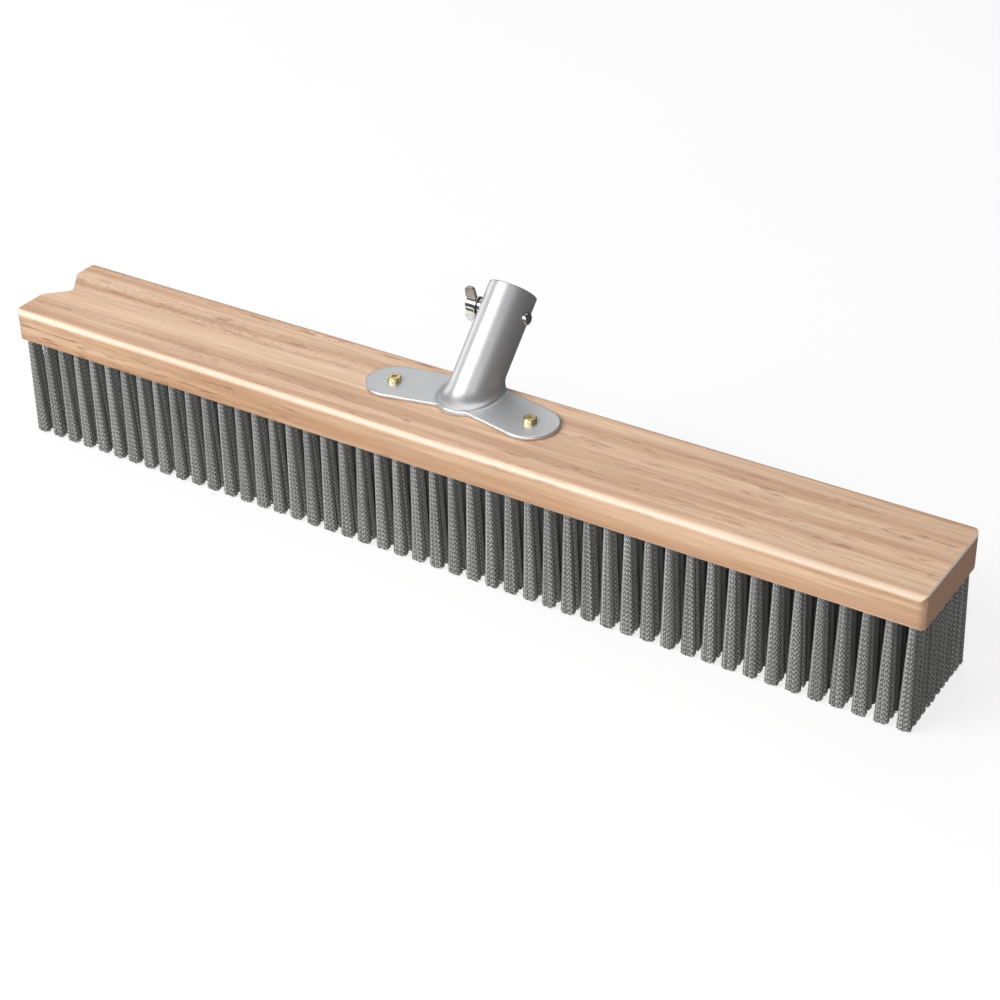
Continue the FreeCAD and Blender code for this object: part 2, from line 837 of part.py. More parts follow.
# ---------------------------------------------------------------- the assembly
nodes = [make_block()]
nodes += make_tuft_rows()
nodes.append(make_bracket())
nodes.append(make_ear_screw("left", -1))
nodes.append(make_ear_screw("right", 1))
nodes.append(make_insert())
nodes.append(make_rivet())
nodes.append(make_washer())
nodes.append(make_stud())
nodes.append(make_wing())
doc.recompute()

for item in doc.Objects:
    for state in ("Invalid", "Error"):
        if state in item.State:
            raise RuntimeError("%s is %s" % (item.Label, state))

for node in nodes:
    shape = node.Shape
    if shape.isNull() or not shape.isValid():
        raise RuntimeError(node.Label + " has no valid shape")
    shape.exportStep("parts/%s.step" % node.Label)
    box_size = shape.BoundBox
    print(
        "%-22s solids %3d volume %10.1f z %.2f to %.2f"
        % (node.Label, len(shape.Solids), shape.Volume, box_size.ZMin, box_size.ZMax)
    )
print("block_y", block_y, "clamp_centre", clamp_centre, "tube_foot", tube_foot)
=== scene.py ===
"""Push broom head: beech block, crimped grey tufts and a satin metal handle socket.

Everything is in metres, in the frame of the CAD part: +X along the block, +Z up.
"""
import json
import math

import bpy
import numpy as np
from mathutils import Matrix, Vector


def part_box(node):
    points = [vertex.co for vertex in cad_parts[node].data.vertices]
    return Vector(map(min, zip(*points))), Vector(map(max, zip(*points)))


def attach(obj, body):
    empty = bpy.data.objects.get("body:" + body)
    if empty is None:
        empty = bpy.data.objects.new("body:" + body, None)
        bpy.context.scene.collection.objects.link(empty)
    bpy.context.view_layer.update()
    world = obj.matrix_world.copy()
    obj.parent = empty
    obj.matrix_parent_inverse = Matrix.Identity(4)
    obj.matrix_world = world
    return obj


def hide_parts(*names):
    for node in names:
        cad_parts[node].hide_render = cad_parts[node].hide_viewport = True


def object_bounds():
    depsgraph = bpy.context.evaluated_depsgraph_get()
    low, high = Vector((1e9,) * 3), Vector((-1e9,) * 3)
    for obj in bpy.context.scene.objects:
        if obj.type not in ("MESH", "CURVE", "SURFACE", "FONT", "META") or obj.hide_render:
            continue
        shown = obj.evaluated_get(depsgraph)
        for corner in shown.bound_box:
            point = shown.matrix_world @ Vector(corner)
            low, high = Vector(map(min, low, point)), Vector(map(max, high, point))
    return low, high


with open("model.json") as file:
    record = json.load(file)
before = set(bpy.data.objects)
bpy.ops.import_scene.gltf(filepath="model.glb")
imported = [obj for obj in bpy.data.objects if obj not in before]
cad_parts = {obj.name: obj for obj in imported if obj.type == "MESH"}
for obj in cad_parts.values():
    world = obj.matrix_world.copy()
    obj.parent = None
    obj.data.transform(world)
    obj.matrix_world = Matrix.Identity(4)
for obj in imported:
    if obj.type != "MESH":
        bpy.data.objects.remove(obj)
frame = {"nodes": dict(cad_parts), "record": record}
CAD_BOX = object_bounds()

import openvdb
from mathutils import Matrix, Vector

bl_info = {
    "name": "Push broom head",
    "version": (1, 0, 0),
    "blender": (4, 5, 0),
    "location": "View3D > Sidebar > Broom",
    "description": "Builds the looks of a push broom head around its CAD frame",
    "category": "Object",
}

MM = 0.001


# ---------------------------------------------------------------- places read from the frame
def corners(node):
    low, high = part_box(node)
    return np.array(low), np.array(high)


def middle(node):
    low, high = corners(node)
    return (low + high) / 2


BLOCK_LOW, BLOCK_HIGH = corners("block")
BLOCK_TOP = float(BLOCK_HIGH[2])
UNDERSIDE = float(BLOCK_LOW[2])
SOCKET = next(m for m in frame["record"]["mounts"] if m["name"] == "handle_socket")
SOCKET_POINT = np.array(SOCKET["pos_m"], float)
SOCKET_AXIS = np.array(SOCKET["axis"], float)
TUBE_FOOT = SOCKET_POINT + SOCKET_AXIS * (BLOCK_TOP - SOCKET_POINT[2]) / SOCKET_AXIS[2]
RIGHT_SCREW = middle("bracket_screw_right")
INSERT = middle("threaded_insert")


# ---------------------------------------------------------------- what a user would change
class BroomBlockSettings(bpy.types.PropertyGroup):
    light_wood: bpy.props.FloatVectorProperty(
        name="Light wood",
        description="Colour of the pale wood between the grain lines",
        subtype="COLOR",
        size=3,
        min=0.0,
        max=1.0,
        default=(0.83, 0.565, 0.375),
    )
    dark_wood: bpy.props.FloatVectorProperty(
        name="Dark wood",
        description="Colour of the warm streaks along the grain",
        subtype="COLOR",
        size=3,
        min=0.0,
        max=1.0,
        default=(0.60, 0.345, 0.200),
    )
    fleck: bpy.props.FloatVectorProperty(
        name="Flecks",
        description="Colour of the short flecks in the grain",
        subtype="COLOR",
        size=3,
        min=0.0,
        max=1.0,
        default=(0.34, 0.145, 0.075),
    )
    lacquer: bpy.props.FloatProperty(
        name="Lacquer",
        description="Strength of the satin lacquer over the wood",
        subtype="FACTOR",
        min=0.0,
        max=1.0,
        default=0.8,
    )


class BroomBristleSettings(bpy.types.PropertyGroup):
    filament: bpy.props.FloatVectorProperty(
        name="Filament",
        description="Colour of the grey filaments",
        subtype="COLOR",
        size=3,
        min=0.0,
        max=1.0,
        default=(0.60, 0.60, 0.585),
    )
    strands: bpy.props.IntProperty(
        name="Strands",
        description="Filaments round each half of a tuft",
        min=6,
        max=30,
        default=15,
    )
    thickness: bpy.props.FloatProperty(
        name="Filament thickness",
        description="Diameter of one filament where it leaves the block",
        subtype="DISTANCE",
        unit="LENGTH",
        default=1.0 * MM,
    )
    crimp_length: bpy.props.FloatProperty(
        name="Crimp length",
        description="Length of one wave of the crimp",
        subtype="DISTANCE",
        unit="LENGTH",
        default=3.05 * MM,
    )
    crimp_depth: bpy.props.FloatProperty(
        name="Crimp depth",
        description="How far a wave stands out to each side",
        subtype="DISTANCE",
        unit="LENGTH",
        default=0.72 * MM,
    )
    # painted shade: this share darkens the colour of every second stroke of each filament
    crimp_shade: bpy.props.FloatProperty(
        name="Crimp shade",
        description="How much darker every second stroke of the crimp is",
        subtype="FACTOR",
        min=0.0,
        max=1.0,
        default=0.48,
    )
    seed: bpy.props.IntProperty(
        name="Seed",
        description="Start of the random draws for the tufts",
        default=12,
    )


class BroomBracketSettings(bpy.types.PropertyGroup):
    metal: bpy.props.FloatVectorProperty(
        name="Metal",
        description="Colour of the satin bracket",
        subtype="COLOR",
        size=3,
        min=0.0,
        max=1.0,
        default=(0.66, 0.665, 0.675),
    )
    fillet: bpy.props.FloatProperty(
        name="Fillet",
        description="Size of the blend between the tube and its foot",
        subtype="DISTANCE",
        unit="LENGTH",
        default=6.0 * MM,
    )
    edge_round: bpy.props.FloatProperty(
        name="Edge round",
        description="Radius along the edges of the ears",
        subtype="DISTANCE",
        unit="LENGTH",
        default=0.9 * MM,
    )
    resolution: bpy.props.FloatProperty(
        name="Mesh size",
        description="Length of the faces of the bracket's mesh",
        subtype="DISTANCE",
        unit="LENGTH",
        default=0.62 * MM,
    )


class BroomFastenerSettings(bpy.types.PropertyGroup):
    brass: bpy.props.FloatVectorProperty(
        name="Yellow plating",
        description="Colour of the yellow screws",
        subtype="COLOR",
        size=3,
        min=0.0,
        max=1.0,
        default=(0.83, 0.72, 0.40),
    )
    bright: bpy.props.FloatVectorProperty(
        name="Bright plating",
        description="Colour of the bright plated parts",
        subtype="COLOR",
        size=3,
        min=0.0,
        max=1.0,
        default=(0.46, 0.465, 0.46),
    )


class BroomStageSettings(bpy.types.PropertyGroup):
    azimuth: bpy.props.FloatProperty(
        name="Azimuth",
        description="Direction of the camera round the head",
        subtype="ANGLE",
        unit="ROTATION",
        default=math.radians(33.337),
    )
    elevation: bpy.props.FloatProperty(
        name="Elevation",
        description="Angle of the camera above the floor",
        subtype="ANGLE",
        unit="ROTATION",
        default=math.radians(32.587),
    )
    roll: bpy.props.FloatProperty(
        name="Roll",
        description="Turn of the camera about its own line of sight",
        subtype="ANGLE",
        unit="ROTATION",
        default=math.radians(-1.422),
    )
    camera_place: bpy.props.FloatVectorProperty(
        name="Camera place",
        description="Place of the camera, measured from the middle of the block's top",
        subtype="TRANSLATION",
        unit="LENGTH",
        size=3,
        default=(0.61667, -0.89357, 0.63103),
    )
    lens: bpy.props.FloatProperty(
        name="Lens",
        description="Focal length of the camera, in millimetres",
        default=78.98,
    )


# ---------------------------------------------------------------- shader helpers
def add_node(tree, kind, **settings):
    """A new shader node with some of its properties set."""
    node = tree.nodes.new(kind)
    for name, value in settings.items():
        setattr(node, name, value)
    return node


def feed(tree, socket, value):
    """Joins a socket to another one, or sets it to a plain value. None leaves it alone."""
    if isinstance(value, bpy.types.NodeSocket):
        tree.links.new(value, socket)
    elif value is not None:
        socket.default_value = value


def math_node(tree, operation, first, second=None, third=None, clamp=False):
    node = add_node(tree, "ShaderNodeMath", operation=operation, use_clamp=clamp)
    for socket, value in zip(node.inputs, (first, second, third)):
        feed(tree, socket, value)
    return node.outputs[0]


def map_range(tree, value, low, high, to_low=0.0, to_high=1.0, smooth=False):
    node = add_node(tree, "ShaderNodeMapRange", clamp=True)
    node.interpolation_type = "SMOOTHSTEP" if smooth else "LINEAR"
    for socket, number in zip(node.inputs, (value, low, high, to_low, to_high)):
        feed(tree, socket, number)
    return node.outputs[0]


def mix_colour(tree, factor, first, second, blend="MIX"):
    node = add_node(tree, "ShaderNodeMix", data_type="RGBA", blend_type=blend)
    feed(tree, node.inputs[0], factor)
    for socket, value in zip((node.inputs[6], node.inputs[7]), (first, second)):
        feed(tree, socket, (*value, 1.0) if isinstance(value, (tuple, list)) else value)
    return node.outputs[2]


def stretched(tree, vector, scale, offset=(0.0, 0.0, 0.0)):
    """A place scaled and shifted along each axis: high numbers make a texture fine."""
    node = add_node(tree, "ShaderNodeMapping")
    feed(tree, node.inputs["Vector"], vector)
    node.inputs["Scale"].default_value = scale
    node.inputs["Location"].default_value = offset
    return node.outputs[0]


def noise(tree, vector, scale=1.0, detail=2.0, roughness=0.5, distortion=0.0):
    node = add_node(tree, "ShaderNodeTexNoise")
    feed(tree, node.inputs["Vector"], vector)
    node.inputs["Scale"].default_value = scale
    node.inputs["Detail"].default_value = detail
    node.inputs["Roughness"].default_value = roughness
    node.inputs["Distortion"].default_value = distortion
    return node.outputs["Fac"]


def object_place(tree):
    return add_node(tree, "ShaderNodeTexCoord").outputs["Object"]


def split(tree, vector):
    node = add_node(tree, "ShaderNodeSeparateXYZ")
    feed(tree, node.inputs[0], vector)
    return node.outputs


def bump(tree, height, strength, depth, normal=None):
    node = add_node(tree, "ShaderNodeBump")
    node.inputs["Strength"].default_value = strength
    node.inputs["Distance"].default_value = depth
    feed(tree, node.inputs["Height"], height)
    feed(tree, node.inputs["Normal"], normal)
    return node.outputs[0]


def new_material(name):
    material = bpy.data.materials.new(name)
    material.use_nodes = True
    tree = material.node_tree
    return material, tree, tree.nodes["Principled BSDF"]


def new_group(name, inputs, outputs):
    """A node group with named sockets. An input with no default is a vector."""
    tree = bpy.data.node_groups.new(name, "ShaderNodeTree")
    for label, default in inputs.items():
        kind = "NodeSocketVector" if default is None else "NodeSocketFloat"
        socket = tree.interface.new_socket(label, in_out="INPUT", socket_type=kind)
        if default is not None:
            socket.default_value = default
    for label, kind in outputs.items():
        tree.interface.new_socket(label, in_out="OUTPUT", socket_type=kind)
    inside = add_node(tree, "NodeGroupInput").outputs
    outside = add_node(tree, "NodeGroupOutput").inputs
    return tree, inside, outside


def use_group(tree, group, **values):
    """A use of a shared node group, with its inputs fed by name."""
    node = add_node(tree, "ShaderNodeGroup", node_tree=group)
    for label, value in values.items():
        feed(tree, node.inputs[label], value)
    return node.outputs


# ---------------------------------------------------------------- shared effects
def edge_wear_group():
    """Where an edge is rounded off and rubbed, as a mask, with the softened normal."""
    tree, inside, outside = new_group(
        "Edge wear",
        {"Radius": 0.5 * MM, "Breakup": 900.0, "Place": None},
        {"Mask": "NodeSocketFloat", "Normal": "NodeSocketVector"},
    )
    soft = add_node(tree, "ShaderNodeBevel", samples=6)
    feed(tree, soft.inputs["Radius"], inside["Radius"])
    sharp = add_node(tree, "ShaderNodeNewGeometry").outputs["Normal"]
    facing = add_node(tree, "ShaderNodeVectorMath", operation="DOT_PRODUCT")
    feed(tree, facing.inputs[0], soft.outputs[0])
    feed(tree, facing.inputs[1], sharp)
    worn = map_range(tree, facing.outputs["Value"], 0.995, 0.90)
    spots = add_node(tree, "ShaderNodeTexNoise")
    feed(tree, spots.inputs["Vector"], inside["Place"])
    feed(tree, spots.inputs["Scale"], inside["Breakup"])
    broken = map_range(tree, spots.outputs["Fac"], 0.35, 0.6, 0.45, 1.0)
    feed(tree, outside["Mask"], math_node(tree, "MULTIPLY", worn, broken))
    feed(tree, outside["Normal"], soft.outputs[0])
    return tree


def fine_grain_group():
    """A fine even grain, as on blasted or moulded surfaces, with wider cloudy patches."""
    tree, inside, outside = new_group(
        "Fine grain",
        {"Place": None, "Grain": 2600.0, "Patches": 60.0},
        {"Height": "NodeSocketFloat", "Cloud": "NodeSocketFloat"},
    )
    for scale, detail, output in (("Grain", 2.0, "Height"), ("Patches", 4.0, "Cloud")):
        texture = add_node(tree, "ShaderNodeTexNoise")
        feed(tree, texture.inputs["Vector"], inside["Place"])
        feed(tree, texture.inputs["Scale"], inside[scale])
        texture.inputs["Detail"].default_value = detail
        feed(tree, outside[output], texture.outputs["Fac"])
    return tree


def brushed_group():
    """Fine scratches drawn out along one direction, which the stretch of Place sets."""
    tree, inside, outside = new_group(
        "Brushed lines",
        {"Place": None, "Fineness": 1.0},
        {"Height": "NodeSocketFloat", "Streak": "NodeSocketFloat"},
    )
    for factor, detail, output in ((1.0, 3.0, "Height"), (0.22, 2.0, "Streak")):
        scale = math_node(tree, "MULTIPLY", inside["Fineness"], factor)
        texture = add_node(tree, "ShaderNodeTexNoise")
        feed(tree, texture.inputs["Vector"], inside["Place"])
        feed(tree, texture.inputs["Scale"], scale)
        texture.inputs["Detail"].default_value = detail
        feed(tree, outside[output], texture.outputs["Fac"])
    return tree


# ---------------------------------------------------------------- materials
# The part of a noise texture's range where nearly all of its values lie.
NOISE_LOW, NOISE_HIGH = 0.3, 0.7

# Growth rings: the height of their heart, how far they wander, and radians to the metre.
RING_HEART_Z = 12.0 * MM
RING_WANDER = 16.0 * MM
RING_RATE = 1500.0

# Where the curled flecks begin and are at full strength along X, the fixed colours of the wood
# and of the painted highlights on it, and how far from the right end the painted highlight on
# the bevel begins and is at full strength.
CURLS_FROM, CURLS_FULL = 20.0 * MM, -140.0 * MM
END_GRAIN_DARK, END_GRAIN_LIGHT = (0.80, 0.44, 0.265), (0.96, 0.55, 0.34)
END_GRAIN_RING = (0.56, 0.30, 0.18)
PAINTED_EDGE_HIGHLIGHT = (1.0, 0.90, 0.72)
PAINTED_BEVEL_HIGHLIGHT = (0.97, 0.93, 0.88)
BEVEL_REACH = (4.0 * MM, 2.0 * MM)
COAT_ROUGHNESS = 0.42


def product(tree, first, second):
    """Two values multiplied together."""
    return math_node(tree, "MULTIPLY", first, second)


def beech_material(settings):
    """Flat-sawn beech under satin lacquer: streaks, growth lines, ray flecks and end grain."""
    material, tree, shader = new_material("lacquered_beech")
    place = object_place(tree)
    axes = split(tree, place)
    normal = split(tree, add_node(tree, "ShaderNodeNewGeometry").outputs["Normal"])
    light, dark = tuple(settings.light_wood), tuple(settings.dark_wood)

    # growth rings about a heart below the block, wandering along its length
    wander = noise(tree, stretched(tree, place, (4.0, 14.0, 14.0)), 1.0, 3.0)
    drift = map_range(tree, wander, 0.2, 0.8, -RING_WANDER, RING_WANDER)
    ring_y = math_node(tree, "ADD", axes[1], drift)
    ring_z = math_node(tree, "ADD", axes[2], -RING_HEART_Z)
    square = product(tree, ring_y, ring_y)
    radius = math_node(tree, "SQRT", math_node(tree, "MULTIPLY_ADD", ring_z, ring_z, square))
    rings = math_node(tree, "SINE", product(tree, radius, RING_RATE))
    ring_line = map_range(tree, rings, 0.35, 1.0, smooth=True)

    streaks = noise(tree, stretched(tree, place, (3.2, 95.0, 95.0)), 1.0, 4.0, 0.6)
    stripes = noise(tree, stretched(tree, place, (7.0, 420.0, 420.0)), 1.0, 3.0, 0.6)
    fibres = noise(tree, stretched(tree, place, (36.0, 1300.0, 1300.0)), 1.0, 3.0, 0.6)
    bands = noise(tree, stretched(tree, place, (2.0, 105.0, 105.0), (3.1, 0.7, 0.0)), 1.0, 2.0)
    band_mask = map_range(tree, bands, 0.44, 0.55, smooth=True)

    # short curled flecks on top near the left end give way to long dashes towards the right
    curls = noise(tree, stretched(tree, place, (330.0, 620.0, 620.0)), 1.0, 2.0, 0.55, 1.6)
    dashes = noise(tree, stretched(tree, place, (62.0, 430.0, 430.0)), 1.0, 3.0, 0.6, 0.5)
    leftness = map_range(tree, axes[0], CURLS_FROM, CURLS_FULL, smooth=True)
    leftness = product(tree, leftness, map_range(tree, normal[2], 0.3, 0.8))
    curl_mask = product(tree, map_range(tree, curls, 0.52, 0.60), leftness)
    dash_mask = map_range(tree, dashes, 0.55, 0.68)
    fleck_mask = math_node(tree, "MAXIMUM", product(tree, curl_mask, 0.60), dash_mask)
    fleck_mask = product(tree, fleck_mask, band_mask)

    warmth = map_range(tree, streaks, 0.36, 0.66, smooth=True)
    wood = mix_colour(tree, warmth, light, dark)
    wood = mix_colour(tree, product(tree, ring_line, 0.16), wood, dark)
    fibre_tone = map_range(tree, fibres, NOISE_LOW, NOISE_HIGH, 0.88, 1.10)
    stripe_tone = map_range(tree, stripes, NOISE_LOW, NOISE_HIGH, 0.90, 1.09)
    grain_tone = product(tree, fibre_tone, stripe_tone)
    tone = add_node(tree, "ShaderNodeCombineColor")
    for socket in tone.inputs[:3]:
        feed(tree, socket, grain_tone)
    wood = mix_colour(tree, 1.0, wood, tone.outputs[0], "MULTIPLY")
    wood = mix_colour(tree, product(tree, fleck_mask, 0.75), wood, tuple(settings.fleck))

    # both ends show darker, redder end grain with open pores
    end_face = map_range(tree, math_node(tree, "ABSOLUTE", normal[0]), 0.72, 0.96, smooth=True)
    pores = noise(tree, stretched(tree, place, (500.0, 1500.0, 1500.0)), 1.0, 2.0)
    pore_share = map_range(tree, pores, 0.35, 0.65)
    end_tone = mix_colour(tree, pore_share, END_GRAIN_DARK, END_GRAIN_LIGHT)
    end_tone = mix_colour(tree, product(tree, ring_line, 0.35), end_tone, END_GRAIN_RING)
    wood = mix_colour(tree, product(tree, end_face, 0.85), wood, end_tone)

    # painted highlight: a cream band along the rounded front edge, broken up by the streaks
    rounded = product(tree, product(tree, normal[1], -1.0), normal[2])
    highlight_band = map_range(tree, rounded, 0.22, 0.46, smooth=True)
    highlight_strength = map_range(tree, streaks, NOISE_LOW, NOISE_HIGH, 0.80, 0.35)
    wood = mix_colour(tree, product(tree, highlight_band, highlight_strength), wood, PAINTED_EDGE_HIGHLIGHT)

    # painted highlight: the bevel along the right end's top edge is coloured nearly white
    sloping = product(tree, normal[0], normal[2])
    bevel_from, bevel_full = (float(BLOCK_HIGH[0]) - reach for reach in BEVEL_REACH)
    at_end = map_range(tree, axes[0], bevel_from, bevel_full)
    bevel = product(tree, map_range(tree, sloping, 0.36, 0.46), at_end)
    wood = mix_colour(tree, bevel, wood, PAINTED_BEVEL_HIGHLIGHT)

    feed(tree, shader.inputs["Base Color"], wood)
    rough = map_range(tree, streaks, NOISE_LOW, NOISE_HIGH, 0.42, 0.52)
    feed(tree, shader.inputs["Roughness"], rough)
    shader.inputs["Coat Weight"].default_value = settings.lacquer
    shader.inputs["Coat Roughness"].default_value = COAT_ROUGHNESS
    relief = math_node(tree, "MULTIPLY_ADD", fleck_mask, -0.6, fibres)
    feed(tree, shader.inputs["Normal"], bump(tree, relief, 0.16, 0.15 * MM))
    return material


def scaled(colour, factor):
    """A colour made darker or lighter, and never lighter than white."""
    return tuple(min(1.0, channel * factor) for channel in colour)


def filament_material(settings, grain):
    """Semi-matt grey plastic. A face attribute sets its tone: each filament's own tone, with
    painted shade on every second stroke of the crimp, on the tufts' flanks and on their hearts.
    """
    material, tree, shader = new_material("grey_crimped_filament")
    place = object_place(tree)
    effect = use_group(tree, grain, Place=place, Grain=1500.0, Patches=45.0)
    # the tone attribute holds each filament's tone together with the painted shade; tone 0 gives
    # the darkest colour
    tone = add_node(tree, "ShaderNodeAttribute", attribute_name="strand_tone_and_shade").outputs["Fac"]
    base = tuple(settings.filament)
    dark, light = scaled(base, 0.20), scaled(base, 1.12)
    colour = mix_colour(tree, tone, dark, light)
    cloud = map_range(tree, effect["Cloud"], NOISE_LOW, NOISE_HIGH, 0.0, 0.16)
    colour = mix_colour(tree, cloud, colour, dark)
    feed(tree, shader.inputs["Base Color"], colour)
    rough = map_range(tree, effect["Height"], NOISE_LOW, NOISE_HIGH, 0.42, 0.58)
    feed(tree, shader.inputs["Roughness"], rough)
    feed(tree, shader.inputs["Normal"], bump(tree, effect["Height"], 0.12, 0.06 * MM))
    return material


def satin_material(settings, grain, wear):
    """The bracket's blasted and clear-coated metal, polished along its edges."""
    material, tree, shader = new_material("satin_bracket_metal")
    place = object_place(tree)
    effect = use_group(tree, grain, Place=place, Grain=2300.0, Patches=70.0)
    rubbed = use_group(tree, wear, Radius=1.2 * MM, Breakup=300.0, Place=place)
    base = tuple(settings.metal)
    shade, bright = scaled(base, 0.88), scaled(base, 1.30)
    cloud = map_range(tree, effect["Cloud"], NOISE_LOW, NOISE_HIGH, 0.0, 0.5)
    colour = mix_colour(tree, cloud, base, shade)
    colour = mix_colour(tree, product(tree, rubbed["Mask"], 0.7), colour, bright)
    feed(tree, shader.inputs["Base Color"], colour)
    shader.inputs["Metallic"].default_value = 0.80
    rough = map_range(tree, effect["Height"], NOISE_LOW, NOISE_HIGH, 0.33, 0.41)
    feed(tree, shader.inputs["Roughness"], rough)
    feed(tree, shader.inputs["Normal"], bump(tree, effect["Height"], 0.06, 0.05 * MM))
    return material


def plated_material(name, colour, roughness, grain, wear):
    """Plated steel or cast zinc: bright, with faint handling marks and rubbed edges."""
    material, tree, shader = new_material(name)
    place = object_place(tree)
    effect = use_group(tree, grain, Place=place, Grain=1900.0, Patches=180.0)
    rubbed = use_group(tree, wear, Radius=0.35 * MM, Breakup=900.0, Place=place)
    dull, bright = scaled(colour, 0.80), scaled(colour, 1.18)
    surface = mix_colour(tree, map_range(tree, effect["Cloud"], 0.35, 0.7), colour, dull)
    surface = mix_colour(tree, rubbed["Mask"], surface, bright)
    feed(tree, shader.inputs["Base Color"], surface)
    shader.inputs["Metallic"].default_value = 1.0
    smooth, dulled = roughness * 0.8, roughness * 1.3
    rough = map_range(tree, effect["Cloud"], NOISE_LOW, NOISE_HIGH, smooth, dulled)
    feed(tree, shader.inputs["Roughness"], rough)
    normal = bump(tree, effect["Height"], 0.05, 0.04 * MM, rubbed["Normal"])
    feed(tree, shader.inputs["Normal"], normal)
    return material


def wire_material(brushed):
    """Drawn flat wire, as the tuft anchors are."""
    material, tree, shader = new_material("drawn_anchor_wire")
    place = stretched(tree, object_place(tree), (120.0, 2400.0, 2400.0))
    effect = use_group(tree, brushed, Place=place, Fineness=1.0)
    streak = map_range(tree, effect["Streak"], NOISE_LOW, NOISE_HIGH)
    colour = mix_colour(tree, streak, (0.42, 0.42, 0.43), (0.60, 0.60, 0.61))
    feed(tree, shader.inputs["Base Color"], colour)
    shader.inputs["Metallic"].default_value = 1.0
    rough = map_range(tree, effect["Streak"], NOISE_LOW, NOISE_HIGH, 0.25, 0.45)
    feed(tree, shader.inputs["Roughness"], rough)
    feed(tree, shader.inputs["Normal"], bump(tree, effect["Height"], 0.1, 0.03 * MM))
    return material


def shared_group(name, make):
    """A node group that several materials share, made the first time it is asked for."""
    return bpy.data.node_groups.get(name) or make()


def dress(node, material):
    """Gives a CAD node a better material without touching its shape."""
    obj = frame["nodes"][node]
    obj.data.materials.clear()
    obj.data.materials.append(material)


# ---------------------------------------------------------------- mesh helpers
def mesh_object(name, points, quads, triangles=()):
    """A smooth-shaded object from arrays of points and faces."""
    quads = np.asarray(quads, np.int32).reshape(-1, 4)
    triangles = np.asarray(triangles, np.int32).reshape(-1, 3)
    sizes = np.concatenate([np.full(len(quads), 4), np.full(len(triangles), 3)])
    mesh = bpy.data.meshes.new(name)
    mesh.vertices.add(len(points))
    mesh.vertices.foreach_set("co", np.asarray(points, np.float32).ravel())
    mesh.loops.add(int(sizes.sum()))
    loops = np.concatenate([quads.ravel(), triangles.ravel()])
    mesh.loops.foreach_set("vertex_index", loops.astype(np.int32))
    mesh.polygons.add(len(sizes))
    starts = np.concatenate([[0], np.cumsum(sizes)[:-1]])
    mesh.polygons.foreach_set("loop_start", starts.astype(np.int32))
    mesh.update(calc_edges=True)
    mesh.validate()
    mesh.shade_smooth()
    obj = bpy.data.objects.new(name, mesh)
    bpy.context.scene.collection.objects.link(obj)
    return obj


def tube_faces(strands, rings, sides):
    """The numbers of the points of many tubes by strand, ring and side, and the tubes' quads."""
    index = np.arange(strands * rings * sides).reshape(strands, rings, sides)
    turned = np.roll(index, -1, axis=2)
    quads = np.stack([index[:, :-1], turned[:, :-1], turned[:, 1:], index[:, 1:]], -1)
    return index, quads.reshape(-1, 4)


# ---------------------------------------------------------------- tufts
# Each tuft is two halves, one each side of its anchor. Pairs are sizes at the root and at the tips.
# The tips of the outer rows lean inwards, and all tufts lean a little at random.
ROWS = range(1, 7)
OUTER_ROWS = (1, 6)
ROW_PARTS = ("left", "middle", "right")
TUBE_SIDES = 3
TUFT_PITCH = 12.7 * MM
HALF_SHIFT = (2.15 * MM, 2.90 * MM)
HALF_WIDTH = (1.60 * MM, 3.65 * MM)
HALF_DEPTH = (1.75 * MM, 2.10 * MM)
HALF_SQUARENESS = 4.5
OVAL_SAMPLES = 721
ROOT_SINK = 1.0 * MM
INNER_STRAND_REACH = 0.45
TUFT_LEAN = 0.16 * MM
INWARD_LEAN = {1: 1.0 * MM, 6: -1.0 * MM}

# The crimp: how it grows down a tuft, how far it bends along and out from the edge, how much the
# filaments slip past one another, in strokes, how it fades on the flanks, and filaments' tones.
CRIMP_GROWTH = (0.7, 1.0)
CRIMP_ALONG = 0.9
CRIMP_OUTWARDS = 0.45
CRIMP_SLIP = 0.09
FLANK_FROM = 0.86
FLANK_FADE = 0.08
FLANK_STRAIGHTNESS = 0.75
# FLANK_SHADE is painted shade on the flanks' filaments, and FLANK_CRIMP_FADE weakens the painted
# stroke shade there.
FLANK_SHADE = 0.58
FLANK_CRIMP_FADE = 0.5
STRAND_TONE, STRAND_TONE_SPREAD, DARKEST_STRAND = 0.78, 0.10, 0.3

# Tips: the lowest ends, how uneven they are, how much shorter the edge is, and how much thicker a
# filament is there than at the block.
TIP_TRIM = 0.3 * MM
TIP_UNEVENNESS = 0.8 * MM
EDGE_TRIM = 0.5 * MM
TIP_RING_GAP = 0.02 * MM
TIP_SPREAD = 1.35

# Inside the head: short filaments, and the hearts that fill the tufts.
SHORT_STUB = 17.0 * MM
CORE_SIDES = 16
CORE_END = 2.2 * MM
CORE_SWELL, FULL_CORE_SWELL = 0.94, 1.22


def between(pair, down):
    """A size between those at the root and at the tips, for a share of the way down."""
    return pair[0] + (pair[1] - pair[0]) * down


def squared_oval(angle):
    """A point on an oval with flattened sides, for each angle."""
    cos, sin = np.cos(angle), np.sin(angle)
    power = 2.0 / HALF_SQUARENESS
    return np.sign(cos) * np.abs(cos) ** power, np.sign(sin) * np.abs(sin) ** power


def even_angles(count):
    """Angles that space their points evenly round a half at its tips."""
    fine = np.linspace(0.0, 2 * math.pi, OVAL_SAMPLES)
    x, y = squared_oval(fine)
    steps = np.hypot(np.diff(x * HALF_WIDTH[1]), np.diff(y * HALF_DEPTH[1]))
    length = np.concatenate([[0.0], np.cumsum(steps)])
    return np.interp((np.arange(count) + 0.5) / count * length[-1], length, fine)


